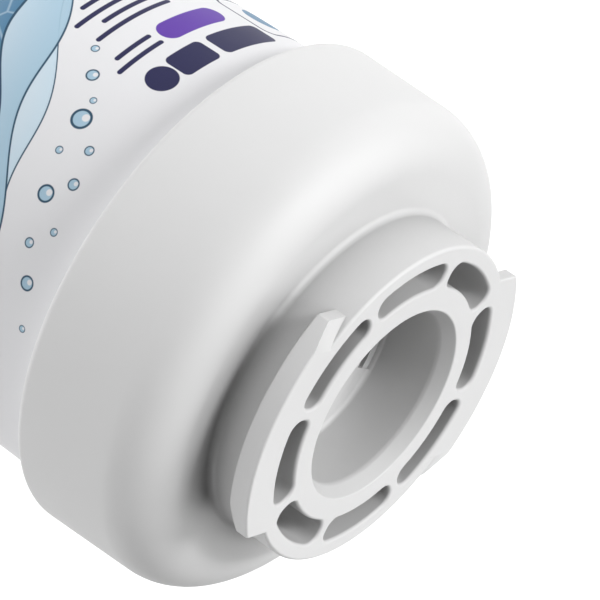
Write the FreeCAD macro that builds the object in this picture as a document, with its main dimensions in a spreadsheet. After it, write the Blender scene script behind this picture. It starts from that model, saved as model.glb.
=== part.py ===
"""Fridge water filter cartridge with a quarter-turn connector.

The cartridge stands on its grip end: the origin is the centre of that end, +Z runs up the
axis to the connector face, and the two locking lugs point along +X and -X.
Lengths are millimetres and angles are degrees.
"""
import FreeCAD
import Part
import Sketcher
import os

# Driving dimensions, one spreadsheet cell each.
SIZES = {
    # Overall form of the housing
    "overall_length": 137.0,
    "neck_height": 9.4,
    "collar_height": 23.6,
    "collar_draft": 1.1,
    "sump_foot_radius": 34.0,
    "sump_draft": 0.9,
    "sump_wall": 3.0,
    "skirt_wall": 3.75,
    "skirt_overlap": 15.0,
    "weld_gap": 0.1,
    # Connector face: bore, ring, pockets and rim from the middle outwards
    "bore_radius": 14.05,
    "bore_lead_in": 1.2,
    "bore_depth": 11.4,
    "bore_floor_fillet": 1.6,
    "bore_floor_wall": 2.6,
    "ring_wall": 3.35,
    "pocket_width": 4.45,
    "pocket_depth": 9.5,
    "pocket_corner": 2.0,
    "pocket_count": 8,
    "pocket_turn": 15.9,
    "rib_thickness": 1.4,
    "rim_wall": 2.35,
    "rim_edge": 0.5,
    # Locking lugs
    "lug_projection": 3.15,
    "lug_width": 34.3,
    "lug_thickness": 3.3,
    "lug_ramp_drop": 1.25,
    "lug_ramp_run": 4.3,
    "lug_lead_drop": 1.3,
    "lug_lead_run": 5.4,
    "lug_count": 2,
    # Shoulder, collar and inside of the head
    "shoulder_radius": 7.9,
    "neck_fillet": 1.0,
    "collar_edge": 1.2,
    "head_wall": 3.1,
    "head_inner_fillet": 4.0,
    # Inlet windows and outlet socket
    "window_count": 4,
    "window_arc": 40.0,
    "window_turn": 5.5,
    "window_width": 2.1,
    "window_land": 1.25,
    "window_land_margin": 0.4,
    "window_sink": 0.3,
    "outlet_radius": 5.5,
    "outlet_chamfer": 0.8,
    "socket_radius": 7.5,
    "socket_depth": 11.0,
    "socket_wall": 2.2,
    # Grip end of the sump
    "well_count": 2,
    "well_depth": 20.0,
    "well_corner": 6.0,
    "well_roof_fillet": 3.0,
    "well_mouth_fillet": 1.2,
    "grip_bar_width": 14.0,
    "foot_edge": 2.0,
    "sump_floor_fillet": 2.0,
    # Printed film wrap
    "label_thickness": 0.12,
    "label_gap": 0.1,
    "label_bottom_margin": 5.0,
    "label_top_margin": 1.0,
    # Filter element
    "flow_gap": 2.5,
    "lip_wall": 1.2,
    "lip_height": 6.0,
    "wrap_thickness": 1.2,
    "fit_gap": 0.05,
    "core_radius": 6.0,
    "core_sleeve_thickness": 0.8,
    "adhesive_thickness": 0.8,
    "disc_thickness": 2.2,
    "centre_plug_height": 5.0,
    "fin_height": 3.0,
    "fin_thickness": 2.4,
    "fin_inner_radius": 9.0,
    "fin_clearance": 0.3,
    "fin_count": 4,
    "fin_turn": 45.0,
    # Outlet spigot and its seals
    "spigot_bore_radius": 3.8,
    "spigot_clearance": 0.2,
    "spigot_end_gap": 1.0,
    "spigot_lead_in": 0.8,
    "boss_clearance": 2.0,
    "seal_groove_depth": 1.5,
    "seal_groove_width": 2.6,
    "seal_top_margin": 2.0,
    "seal_spacing": 4.2,
}

# Worked-out radii and heights, kept as formulas in a second sheet.
LEVELS = {
    # Heights of the housing
    "shoulder_height": "Sizes.overall_length - Sizes.neck_height",
    "collar_rim_height": "shoulder_height - Sizes.collar_height",
    "seat_height": "collar_rim_height + Sizes.skirt_overlap",
    "ceiling_height": "shoulder_height - Sizes.head_wall",
    "lead_in_height": "Sizes.overall_length - Sizes.bore_lead_in",
    "bore_floor_height": "Sizes.overall_length - Sizes.bore_depth",
    "cup_underside": "bore_floor_height - Sizes.bore_floor_wall",
    "socket_mouth_height": "cup_underside - Sizes.socket_depth",
    "sump_floor_height": "Sizes.well_depth + Sizes.sump_wall",
    # Radii of the housing
    "sump_slope": "tan(Sizes.sump_draft)",
    "sump_rim_radius": "Sizes.sump_foot_radius + sump_slope * collar_rim_height",
    "sump_seat_radius": "Sizes.sump_foot_radius + sump_slope * seat_height",
    "sump_floor_radius": "Sizes.sump_foot_radius + sump_slope * sump_floor_height - Sizes.sump_wall",
    "sump_mouth_radius": "sump_seat_radius - Sizes.sump_wall",
    "skirt_rim_radius": "sump_rim_radius + Sizes.weld_gap",
    "skirt_seat_radius": "sump_seat_radius + Sizes.weld_gap",
    "collar_rim_radius": "skirt_rim_radius + Sizes.skirt_wall",
    "collar_top_radius": "collar_rim_radius - tan(Sizes.collar_draft) * Sizes.collar_height",
    "well_radius": "Sizes.sump_foot_radius - Sizes.sump_wall",
    "bar_half_width": "Sizes.grip_bar_width / 2",
    "bar_hollow_half_width": "bar_half_width - Sizes.sump_wall",
    "bar_hollow_depth": "sump_floor_height - Sizes.sump_wall",
    "bar_hollow_half_length": "sqrt(well_radius^2 - bar_hollow_half_width^2)",
    "well_half_chord": "sqrt(well_radius^2 - bar_half_width^2)",
    # Radii of the connector face
    "mouth_radius": "Sizes.bore_radius + Sizes.bore_lead_in",
    "cup_radius": "mouth_radius + Sizes.ring_wall",
    "pocket_outer_radius": "cup_radius + Sizes.pocket_width",
    "neck_radius": "pocket_outer_radius + Sizes.rim_wall",
    "pocket_half_angle": "180 / Sizes.pocket_count",
    "pocket_corner_radius": "min(Sizes.pocket_corner; Sizes.pocket_width / 2 - Sizes.fit_gap)",
    "rib_half_thickness": "Sizes.rib_thickness / 2",
    "pocket_near_run": "sqrt(cup_radius^2 - rib_half_thickness^2)",
    "pocket_near_x": "pocket_near_run * cos(pocket_half_angle) + rib_half_thickness * sin(pocket_half_angle)",
    "pocket_near_y": "pocket_near_run * sin(pocket_half_angle) - rib_half_thickness * cos(pocket_half_angle)",
    "pocket_far_run": "sqrt(pocket_outer_radius^2 - rib_half_thickness^2)",
    "pocket_far_x": "pocket_far_run * cos(pocket_half_angle) + rib_half_thickness * sin(pocket_half_angle)",
    "pocket_far_y": "pocket_far_run * sin(pocket_half_angle) - rib_half_thickness * cos(pocket_half_angle)",
    "boss_radius": "Sizes.socket_radius + Sizes.socket_wall",
    "window_outer_radius": "Sizes.bore_radius - Sizes.window_land",
    "window_inner_radius": "window_outer_radius - Sizes.window_width",
    "window_half_arc": "Sizes.window_arc / 2",
    "window_near_x": "window_inner_radius * cos(window_half_arc)",
    "window_near_y": "window_inner_radius * sin(window_half_arc)",
    "window_far_x": "window_outer_radius * cos(window_half_arc)",
    "window_far_y": "window_outer_radius * sin(window_half_arc)",
    "land_outer_radius": "Sizes.bore_radius - Sizes.window_land_margin",
    "land_far_x": "land_outer_radius * cos(window_half_arc)",
    "land_far_y": "land_outer_radius * sin(window_half_arc)",
    "window_land_height": "bore_floor_height - Sizes.window_sink",
    "window_land_depth": "Sizes.bore_floor_fillet + Sizes.window_sink",
    "outlet_chamfer_radius": "Sizes.outlet_radius + Sizes.outlet_chamfer",
    "outlet_chamfer_height": "bore_floor_height - Sizes.outlet_chamfer",
    # Locking lugs
    "lug_radius": "neck_radius + Sizes.lug_projection",
    "lug_underside": "Sizes.overall_length - Sizes.lug_thickness",
    "lug_ramp_height": "Sizes.overall_length - Sizes.lug_ramp_drop",
    "lug_lead_height": "lug_underside + Sizes.lug_lead_drop",
    "lug_half_width": "Sizes.lug_width / 2",
    "lug_ramp_start": "lug_half_width - Sizes.lug_ramp_run",
    "lug_lead_start": "lug_half_width - Sizes.lug_lead_run",
    "lug_blank_length": "lug_radius - mouth_radius",
    "lug_trim_radius": "lug_radius + Sizes.lug_width",
    # Printed film wrap
    "label_top": "collar_rim_height - Sizes.label_top_margin",
    "label_lower_radius": "Sizes.sump_foot_radius + sump_slope * Sizes.label_bottom_margin + Sizes.label_gap",
    "label_upper_radius": "Sizes.sump_foot_radius + sump_slope * label_top + Sizes.label_gap",
    "label_lower_outside": "label_lower_radius + Sizes.label_thickness",
    "label_upper_outside": "label_upper_radius + Sizes.label_thickness",
    # Radii of the filter element
    "lip_radius": "sump_floor_radius - Sizes.flow_gap",
    "lip_inner_radius": "lip_radius - Sizes.lip_wall",
    "wrap_radius": "lip_inner_radius - Sizes.fit_gap",
    "wrap_inner_radius": "wrap_radius - Sizes.wrap_thickness",
    "block_radius": "wrap_inner_radius - Sizes.fit_gap",
    "sleeve_radius": "Sizes.core_radius - Sizes.fit_gap",
    "sleeve_inner_radius": "sleeve_radius - Sizes.core_sleeve_thickness",
    "plug_radius": "sleeve_inner_radius - Sizes.fit_gap",
    "fin_outer_radius": "sump_floor_radius - Sizes.sump_floor_fillet - Sizes.fin_clearance",
    "fin_half_thickness": "Sizes.fin_thickness / 2",
    # Heights of the filter element, from the sump floor up and from the socket down
    "lower_disc_underside": "sump_floor_height + Sizes.fin_height",
    "lower_disc_top": "lower_disc_underside + Sizes.disc_thickness",
    "block_bottom": "lower_disc_top + Sizes.adhesive_thickness",
    "lower_lip_top": "lower_disc_top + Sizes.lip_height",
    "plug_top": "block_bottom + Sizes.centre_plug_height",
    "upper_disc_top": "socket_mouth_height - Sizes.boss_clearance",
    "upper_disc_underside": "upper_disc_top - Sizes.disc_thickness",
    "block_top": "upper_disc_underside - Sizes.adhesive_thickness",
    "upper_lip_bottom": "upper_disc_underside - Sizes.lip_height",
    # Outlet spigot and its seals
    "spigot_radius": "Sizes.socket_radius - Sizes.spigot_clearance",
    "spigot_top": "cup_underside - Sizes.spigot_end_gap",
    "spigot_lead_height": "spigot_top - Sizes.spigot_lead_in",
    "spigot_tip_radius": "spigot_radius - Sizes.spigot_lead_in",
    "groove_radius": "spigot_radius - Sizes.seal_groove_depth",
    "upper_groove_top": "spigot_top - Sizes.seal_top_margin",
    "upper_groove_bottom": "upper_groove_top - Sizes.seal_groove_width",
    "lower_groove_top": "upper_groove_top - Sizes.seal_spacing",
    "lower_groove_bottom": "upper_groove_bottom - Sizes.seal_spacing",
    "seal_section": "Sizes.socket_radius - groove_radius - 2 * Sizes.fit_gap",
    "seal_half_section": "seal_section / 2",
    "seal_centre_radius": "(Sizes.socket_radius + groove_radius) / 2",
    "upper_seal_height": "(upper_groove_top + upper_groove_bottom) / 2",
    "lower_seal_height": "(lower_groove_top + lower_groove_bottom) / 2",
}

FULL_TURN = 360.0
SAME_PLACE = 1e-4

doc = FreeCAD.newDocument("water_filter_cartridge")


def fill_sheet(name, cells):
    """A spreadsheet with one aliased cell for each entry."""
    sheet = doc.addObject("Spreadsheet::Sheet", name)
    for row, (alias, content) in enumerate(cells.items(), start=1):
        sheet.set(f"A{row}", alias)
        sheet.set(f"B{row}", content)
        sheet.setAlias(f"B{row}", alias)
    return sheet


sizes = fill_sheet("Sizes", {alias: str(number) for alias, number in SIZES.items()})
levels = fill_sheet("Levels", {alias: "=" + formula for alias, formula in LEVELS.items()})
doc.recompute()


def cell(alias):
    """The sheet reference that an expression uses for an alias."""
    return ("Sizes." if alias in SIZES else "Levels.") + alias


def size(alias):
    """The present value of an alias; None stands for the axis or the ground plane."""
    if alias is None:
        return 0.0
    if alias.startswith("-"):
        return -size(alias[1:])
    sheet = sizes if alias in SIZES else levels
    return float(sheet.get(alias))


def new_body(label):
    body = doc.addObject("PartDesign::Body", label)
    body.Label = label
    return body


def origin_feature(body, role):
    """One of the body's own planes or axes."""
    return next(item for item in body.Origin.OriginFeatures if item.Role == role)


def new_sketch(body, name, plane, offset=None, turn=None):
    """A sketch on a plane of the body, moved out by one alias and turned by another."""
    sketch = body.newObject("Sketcher::SketchObject", name)
    sketch.AttachmentSupport = (origin_feature(body, plane), [""])
    sketch.MapMode = "FlatFace"
    if offset:
        sketch.setExpression("AttachmentOffset.Base.z", cell(offset))
    if turn:
        sketch.setExpression("AttachmentOffset.Rotation.Angle", cell(turn))
    return sketch


def bind(sketch, constraint, alias):
    """Add a constraint whose value follows an alias."""
    index = sketch.addConstraint(constraint)
    sketch.setExpression(f"Constraints[{index}]", cell(alias))


def pin(sketch, kind, edge, alias):
    """Hold the start of an edge at a distance from the sketch's origin."""
    if alias is None:
        sketch.addConstraint(Sketcher.Constraint(kind, -1, 1, edge, 1, 0.0))
    elif alias.startswith("-"):
        bind(sketch, Sketcher.Constraint(kind, edge, 1, -1, 1, size(alias[1:])), alias[1:])
    else:
        bind(sketch, Sketcher.Constraint(kind, -1, 1, edge, 1, size(alias)), alias)


def outline(sketch, corners):
    """A closed outline of straight edges through corners given as pairs of aliases."""
    points = [FreeCAD.Vector(size(across), size(up), 0) for across, up in corners]
    count = len(points)
    for index, point in enumerate(points):
        sketch.addGeometry(Part.LineSegment(point, points[(index + 1) % count]), False)
    for index in range(count):
        sketch.addConstraint(Sketcher.Constraint("Coincident", index, 2, (index + 1) % count, 1))
    for index, (across, up) in enumerate(corners):
        pin(sketch, "DistanceX", index, across)
        pin(sketch, "DistanceY", index, up)
    return sketch


def turned(body, name, corners, kind="PartDesign::Revolution"):
    """Turn a section of (radius, height) corners about the cartridge's axis."""
    sketch = outline(new_sketch(body, name + "_section", "XZ_Plane"), corners)
    feature = body.newObject(kind, name)
    feature.Profile = sketch
    feature.ReferenceAxis = (sketch, ["V_Axis"])
    feature.Angle = FULL_TURN
    doc.recompute()
    return feature


def turned_piece(label, corners):
    """A sub-part that is one turned section."""
    body = new_body(label)
    turned(body, label + "_turned", corners)
    return body


def extruded(body, name, sketch, depth, kind="PartDesign::Pocket", reverse=False):
    """Pad or pocket a sketch to the depth that an alias gives."""
    feature = body.newObject(kind, name)
    feature.Profile = sketch
    feature.Reversed = reverse
    feature.setExpression("Length", cell(depth))
    doc.recompute()
    return feature


def around_axis(body, name, originals, count):
    """Repeat features evenly about the cartridge's axis."""
    pattern = body.newObject("PartDesign::PolarPattern", name)
    pattern.Originals = originals
    pattern.Axis = (origin_feature(body, "Z_Axis"), [""])
    pattern.Angle = FULL_TURN
    pattern.setExpression("Occurrences", cell(count))
    body.Tip = pattern
    doc.recompute()
    return pattern


def edge_names(feature, wanted):
    """Names of the feature's edges that a test picks."""
    return [f"Edge{n}" for n, edge in enumerate(feature.Shape.Edges, start=1) if wanted(edge)]


def hoop(radius, height):
    """A test for the round edge about the axis at a radius and height."""
    def wanted(edge):
        if edge.Curve.TypeId != "Part::GeomCircle":
            return False
        level = abs(edge.Curve.Center.z - size(height)) < SAME_PLACE
        return level and abs(edge.Curve.Radius - size(radius)) < SAME_PLACE
    return wanted


def rounded(body, name, base, wanted, radius):
    """Fillet the picked edges of a feature."""
    fillet = body.newObject("PartDesign::Fillet", name)
    fillet.Base = (base, edge_names(base, wanted))
    fillet.setExpression("Radius", cell(radius))
    doc.recompute()
    return fillet


def join(sketch, edge, end, other, start):
    """Bring the end of one edge and the start of another together."""
    sketch.addConstraint(Sketcher.Constraint("Coincident", edge, end, other, start))


def arc_about_origin(start, end):
    """An arc about the sketch's origin, run anticlockwise between two points."""
    circle = Part.Circle(FreeCAD.Vector(), FreeCAD.Vector(0, 0, 1), start.Length)
    return Part.ArcOfCircle(circle, circle.parameter(start), circle.parameter(end))


def sector(sketch, near, far):
    """A curved slot across +X, with one straight side from near to far and its mirror image."""
    near_point = FreeCAD.Vector(size(near[0]), size(near[1]), 0)
    far_point = FreeCAD.Vector(size(far[0]), size(far[1]), 0)
    near_mirror = FreeCAD.Vector(near_point.x, -near_point.y, 0)
    far_mirror = FreeCAD.Vector(far_point.x, -far_point.y, 0)
    side = sketch.addGeometry(Part.LineSegment(near_point, far_point), False)
    mirrored = sketch.addGeometry(Part.LineSegment(far_mirror, near_mirror), False)
    outer = sketch.addGeometry(arc_about_origin(far_mirror, far_point), False)
    inner = sketch.addGeometry(arc_about_origin(near_mirror, near_point), False)
    join(sketch, outer, 3, -1, 1)
    join(sketch, inner, 3, -1, 1)
    join(sketch, outer, 1, mirrored, 1)
    join(sketch, outer, 2, side, 2)
    join(sketch, inner, 1, mirrored, 2)
    join(sketch, inner, 2, side, 1)
    for kind, place, end in (("DistanceX", near[0], 1), ("DistanceY", near[1], 1),
                             ("DistanceX", far[0], 2), ("DistanceY", far[1], 2)):
        bind(sketch, Sketcher.Constraint(kind, -1, 1, side, end, size(place)), place)
    bind(sketch, Sketcher.Constraint("DistanceY", mirrored, 1, -1, 1, size(far[1])), far[1])
    bind(sketch, Sketcher.Constraint("DistanceY", mirrored, 2, -1, 1, size(near[1])), near[1])
    return sketch


def round_segment(sketch, across, half_chord):
    """The part of a disc that lies beyond a chord standing across +X."""
    lower = FreeCAD.Vector(size(across), -size(half_chord), 0)
    upper = FreeCAD.Vector(size(across), size(half_chord), 0)
    chord = sketch.addGeometry(Part.LineSegment(upper, lower), False)
    arc = sketch.addGeometry(arc_about_origin(lower, upper), False)
    join(sketch, arc, 3, -1, 1)
    join(sketch, arc, 1, chord, 2)
    join(sketch, arc, 2, chord, 1)
    pin(sketch, "DistanceX", chord, across)
    pin(sketch, "DistanceY", chord, half_chord)
    sketch.addConstraint(Sketcher.Constraint("Vertical", chord))
    return sketch


def upright_edge(edge):
    """A test for straight edges that run along the cartridge's axis."""
    if edge.Curve.TypeId != "Part::GeomLine":
        return False
    return abs(abs(edge.Curve.Direction.z) - 1) < SAME_PLACE


def axis_distance(point):
    """How far a point lies from the cartridge's axis."""
    return (point.x ** 2 + point.y ** 2) ** 0.5


def level_edge(height, reach):
    """A test for edges lying flat at a height, with their middle no further out than a radius."""
    def wanted(edge):
        box = edge.BoundBox
        if box.ZLength > SAME_PLACE or abs(box.ZMin - size(height)) > SAME_PLACE:
            return False
        middle = edge.valueAt((edge.FirstParameter + edge.LastParameter) / 2)
        return axis_distance(middle) < size(reach) + SAME_PLACE
    return wanted


def make_sump():
    """The cup of the housing: tapered wall, and two finger wells either side of a grip bar."""
    body = new_body("sump")
    cup = turned(body, "sump_cup", [
        (None, "sump_floor_height"),
        ("sump_floor_radius", "sump_floor_height"),
        ("sump_mouth_radius", "seat_height"),
        ("sump_seat_radius", "seat_height"),
        ("sump_foot_radius", None),
        (None, None),
    ])
    cup = rounded(body, "sump_floor_round", cup, hoop("sump_floor_radius", "sump_floor_height"),
                  "sump_floor_fillet")
    cup = rounded(body, "foot_round", cup, hoop("sump_foot_radius", None), "foot_edge")
    hollow = outline(new_sketch(body, "bar_hollow_outline", "XY_Plane", offset="sump_floor_height"), [
        ("bar_hollow_half_width", "bar_hollow_half_length"),
        ("-bar_hollow_half_width", "bar_hollow_half_length"),
        ("-bar_hollow_half_width", "-bar_hollow_half_length"),
        ("bar_hollow_half_width", "-bar_hollow_half_length"),
    ])
    extruded(body, "bar_hollow", hollow, "bar_hollow_depth")
    shape = round_segment(new_sketch(body, "well_outline", "XY_Plane"), "bar_half_width", "well_half_chord")
    well = extruded(body, "finger_well", shape, "well_depth", reverse=True)
    wells = around_axis(body, "finger_wells", [well], "well_count")

    def well_corner(edge):
        return upright_edge(edge) and abs(edge.BoundBox.ZMin) < SAME_PLACE

    corners = rounded(body, "well_corners", wells, well_corner, "well_corner")
    roofs = rounded(body, "well_roofs", corners, level_edge("well_depth", "well_radius"), "well_roof_fillet")
    rounded(body, "well_mouths", roofs, level_edge(None, "well_radius"), "well_mouth_fillet")
    return body


def make_head_cap():
    """The one-piece head: skirt, shoulder, neck with lugs, pockets, bore and outlet socket."""
    body = new_body("head_cap")
    head = turned(body, "head_turned", [
        ("skirt_rim_radius", "collar_rim_height"),
        ("collar_rim_radius", "collar_rim_height"),
        ("collar_top_radius", "shoulder_height"),
        ("neck_radius", "shoulder_height"),
        ("neck_radius", "overall_length"),
        ("mouth_radius", "overall_length"),
        ("bore_radius", "lead_in_height"),
        ("bore_radius", "bore_floor_height"),
        ("outlet_chamfer_radius", "bore_floor_height"),
        ("outlet_radius", "outlet_chamfer_height"),
        ("outlet_radius", "cup_underside"),
        ("socket_radius", "cup_underside"),
        ("socket_radius", "socket_mouth_height"),
        ("boss_radius", "socket_mouth_height"),
        ("boss_radius", "cup_underside"),
        ("cup_radius", "cup_underside"),
        ("cup_radius", "ceiling_height"),
        ("sump_mouth_radius", "ceiling_height"),
        ("sump_mouth_radius", "seat_height"),
        ("skirt_seat_radius", "seat_height"),
    ])
    for name, radius, height, fillet in (
        ("shoulder_round", "collar_top_radius", "shoulder_height", "shoulder_radius"),
        ("neck_root", "neck_radius", "shoulder_height", "neck_fillet"),
        ("rim_round", "neck_radius", "overall_length", "rim_edge"),
        ("collar_round", "collar_rim_radius", "collar_rim_height", "collar_edge"),
        ("bore_floor_round", "bore_radius", "bore_floor_height", "bore_floor_fillet"),
        ("head_inner_round", "sump_mouth_radius", "ceiling_height", "head_inner_fillet"),
    ):
        head = rounded(body, name, head, hoop(radius, height), fillet)
    add_lugs(body)
    cut_pockets(body)
    cut_windows(body)
    return body


def add_lugs(body):
    """Two lugs with parallel ends: a ramp on the face at one end, a lead-in beneath at the other."""
    profile = outline(new_sketch(body, "lug_outline", "YZ_Plane", offset="mouth_radius"), [
        ("-lug_half_width", "lug_ramp_height"),
        ("-lug_ramp_start", "overall_length"),
        ("lug_half_width", "overall_length"),
        ("lug_half_width", "lug_lead_height"),
        ("lug_lead_start", "lug_underside"),
        ("-lug_half_width", "lug_underside"),
    ])
    blank = extruded(body, "lug_blank", profile, "lug_blank_length", kind="PartDesign::Pad")
    trim = turned(body, "lug_trim", [
        ("lug_radius", "lug_underside"),
        ("lug_trim_radius", "lug_underside"),
        ("lug_trim_radius", "overall_length"),
        ("lug_radius", "overall_length"),
    ], kind="PartDesign::Groove")
    around_axis(body, "lugs", [blank, trim], "lug_count")


def cut_pockets(body):
    """The ring of moulded pockets between the bore ring and the neck's rim."""
    shape = sector(new_sketch(body, "pocket_outline", "XY_Plane", "overall_length", "pocket_turn"),
                   ("pocket_near_x", "pocket_near_y"), ("pocket_far_x", "pocket_far_y"))
    pocket = extruded(body, "pocket", shape, "pocket_depth")
    pockets = around_axis(body, "pockets", [pocket], "pocket_count")

    def pocket_corner(edge):
        if not upright_edge(edge):
            return False
        reach = axis_distance(edge.BoundBox.Center)
        walls = ("cup_radius", "pocket_outer_radius")
        return any(abs(reach - size(wall)) < SAME_PLACE for wall in walls)

    rounded(body, "pocket_corners", pockets, pocket_corner, "pocket_corner_radius")


def cut_windows(body):
    """Inlet windows through the bore floor, each with a flat land cut into the floor's fillet."""
    near = ("window_near_x", "window_near_y")
    land_shape = sector(new_sketch(body, "land_outline", "XY_Plane", "window_land_height", "window_turn"),
                        near, ("land_far_x", "land_far_y"))
    land = extruded(body, "window_land", land_shape, "window_land_depth", reverse=True)
    around_axis(body, "window_lands", [land], "window_count")
    slot_shape = sector(new_sketch(body, "window_outline", "XY_Plane", "window_land_height", "window_turn"),
                        near, ("window_far_x", "window_far_y"))
    slot = extruded(body, "window", slot_shape, "bore_floor_wall")
    around_axis(body, "windows", [slot], "window_count")


def make_lower_end_cap():
    """The closed end cap: disc with a lip, a plug in the core, and fins that stand on the sump floor."""
    body = new_body("lower_end_cap")
    turned(body, "lower_disc", [
        (None, "lower_disc_underside"),
        ("lip_radius", "lower_disc_underside"),
        ("lip_radius", "lower_lip_top"),
        ("lip_inner_radius", "lower_lip_top"),
        ("lip_inner_radius", "lower_disc_top"),
        ("plug_radius", "lower_disc_top"),
        ("plug_radius", "plug_top"),
        (None, "plug_top"),
    ])
    shape = outline(new_sketch(body, "fin_outline", "XY_Plane", "sump_floor_height", "fin_turn"), [
        ("fin_inner_radius", "-fin_half_thickness"),
        ("fin_outer_radius", "-fin_half_thickness"),
        ("fin_outer_radius", "fin_half_thickness"),
        ("fin_inner_radius", "fin_half_thickness"),
    ])
    fin = extruded(body, "fin", shape, "fin_height", kind="PartDesign::Pad")
    around_axis(body, "fins", [fin], "fin_count")
    return body


def make_upper_end_cap():
    """The open end cap: disc with a lip, and the outlet spigot with two seal grooves."""
    return turned_piece("upper_end_cap", [
        ("spigot_bore_radius", "upper_disc_underside"),
        ("lip_inner_radius", "upper_disc_underside"),
        ("lip_inner_radius", "upper_lip_bottom"),
        ("lip_radius", "upper_lip_bottom"),
        ("lip_radius", "upper_disc_top"),
        ("spigot_radius", "upper_disc_top"),
        ("spigot_radius", "lower_groove_bottom"),
        ("groove_radius", "lower_groove_bottom"),
        ("groove_radius", "lower_groove_top"),
        ("spigot_radius", "lower_groove_top"),
        ("spigot_radius", "upper_groove_bottom"),
        ("groove_radius", "upper_groove_bottom"),
        ("groove_radius", "upper_groove_top"),
        ("spigot_radius", "upper_groove_top"),
        ("spigot_radius", "spigot_lead_height"),
        ("spigot_tip_radius", "spigot_top"),
        ("spigot_bore_radius", "spigot_top"),
    ])


def make_label_wrap():
    """The printed film round the tapered sump, below the collar."""
    return turned_piece("label_wrap", [
        ("label_lower_radius", "label_bottom_margin"),
        ("label_lower_outside", "label_bottom_margin"),
        ("label_upper_outside", "label_top"),
        ("label_upper_radius", "label_top"),
    ])


def make_tube(label, inner, outer, bottom, top):
    """A plain tube about the cartridge's axis."""
    return turned_piece(label, [(inner, bottom), (outer, bottom), (outer, top), (inner, top)])


def make_seal(label, height):
    """An O-ring squeezed between its groove and the outlet socket."""
    ring = doc.addObject("Part::Torus", label)
    ring.Label = label
    ring.setExpression("Radius1", cell("seal_centre_radius"))
    ring.setExpression("Radius2", cell("seal_half_section"))
    ring.setExpression("Placement.Base.z", cell(height))
    return ring


pieces = [
    make_sump(),
    make_head_cap(),
    make_label_wrap(),
    make_lower_end_cap(),
    make_tube("lower_adhesive", "sleeve_inner_radius", "wrap_radius", "lower_disc_top", "block_bottom"),
    make_tube("core_sleeve", "sleeve_inner_radius", "sleeve_radius", "block_bottom", "block_top"),
    make_tube("carbon_block", "core_radius", "block_radius", "block_bottom", "block_top"),
    make_tube("prefilter_wrap", "wrap_inner_radius", "wrap_radius", "block_bottom", "block_top"),
    make_tube("upper_adhesive", "sleeve_inner_radius", "wrap_radius", "block_top", "upper_disc_underside"),
    make_upper_end_cap(),
    make_seal("lower_o_ring", "lower_seal_height"),
    make_seal("upper_o_ring", "upper_seal_height"),
]
doc.recompute()

for item in doc.Objects:
    if "Invalid" in item.State or "Error" in item.State:
        raise RuntimeError(f"{item.Label} failed to build: {item.State}")
for piece in pieces:
    if piece.Shape.isNull() or not piece.Shape.isValid() or len(piece.Shape.Solids) != 1:
        raise RuntimeError(f"{piece.Label} is not one valid solid")

os.makedirs("parts", exist_ok=True)
for piece in pieces:
    piece.Shape.exportStep(os.path.join("parts", piece.Label + ".step"))
    print(f"{piece.Label}: {piece.Shape.Volume / 1000:.2f} cm3, {len(piece.Shape.Faces)} faces")
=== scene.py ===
# %% [markdown]
# # A fridge water filter cartridge
# The real cartridge is a closed plastic bottle: a tapered cup, a head with a quarter-turn connector
# welded onto it, and a printed film wrapped round the cup. A filter element is sealed inside.
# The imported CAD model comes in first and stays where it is. The three mouldings that the eye meets
# are modelled again here with finer curves and eased edges, and take the place of their CAD nodes.
# The sealed pieces inside keep their CAD meshes and only get better finishes.

import math

import bmesh
import bpy
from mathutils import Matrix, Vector


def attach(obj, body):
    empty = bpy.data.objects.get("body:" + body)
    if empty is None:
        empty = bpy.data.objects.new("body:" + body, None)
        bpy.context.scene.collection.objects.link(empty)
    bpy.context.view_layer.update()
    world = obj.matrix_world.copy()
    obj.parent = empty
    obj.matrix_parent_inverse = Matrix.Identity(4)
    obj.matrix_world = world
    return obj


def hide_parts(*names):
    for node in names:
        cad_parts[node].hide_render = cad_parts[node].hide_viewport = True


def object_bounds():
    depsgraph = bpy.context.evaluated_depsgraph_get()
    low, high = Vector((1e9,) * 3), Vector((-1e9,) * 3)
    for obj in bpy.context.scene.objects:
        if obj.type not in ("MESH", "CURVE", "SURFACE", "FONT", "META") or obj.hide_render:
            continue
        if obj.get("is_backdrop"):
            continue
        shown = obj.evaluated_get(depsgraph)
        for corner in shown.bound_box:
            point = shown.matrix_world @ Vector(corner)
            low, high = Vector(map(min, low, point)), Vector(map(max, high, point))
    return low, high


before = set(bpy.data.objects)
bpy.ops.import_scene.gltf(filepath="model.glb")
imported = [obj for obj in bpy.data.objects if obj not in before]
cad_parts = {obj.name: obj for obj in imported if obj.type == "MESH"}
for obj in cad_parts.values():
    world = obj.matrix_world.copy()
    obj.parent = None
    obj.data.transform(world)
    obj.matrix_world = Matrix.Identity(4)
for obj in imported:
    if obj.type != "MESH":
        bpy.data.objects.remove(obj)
cad_low, cad_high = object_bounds()
print("CAD nodes:", ", ".join(sorted(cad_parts)))
print("CAD box in mm:", [round(side * 1000, 1) for side in cad_high - cad_low])

# %% [markdown]
# ## The camera
# A long lens stands a little over half a metre away. It looks down on the connector and is rolled,
# so that the connector points to the lower right of the picture. Its place and turn were worked out
# from the round edges of the connector, which all share one axis, so the camera needs no shift.
# The object is measured in millimetres and degrees, and MM turns a length into Blender's metres.

# %% Camera
MM = 0.001
CAMERA_PLACE = (503.23, -252.80, 385.07)
CAMERA_TURN = (-49.750, -48.323, -148.422)
CAMERA_LENS = 266.52

bpy.ops.object.camera_add(
    location=[side * MM for side in CAMERA_PLACE],
    rotation=[math.radians(angle) for angle in CAMERA_TURN],
)
camera = bpy.context.object
camera.name = "camera"
camera.data.lens = CAMERA_LENS
camera.data.sensor_width = 36
bpy.context.scene.camera = camera
print("camera at", CAMERA_PLACE, "mm with a", CAMERA_LENS, "mm lens")

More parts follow.
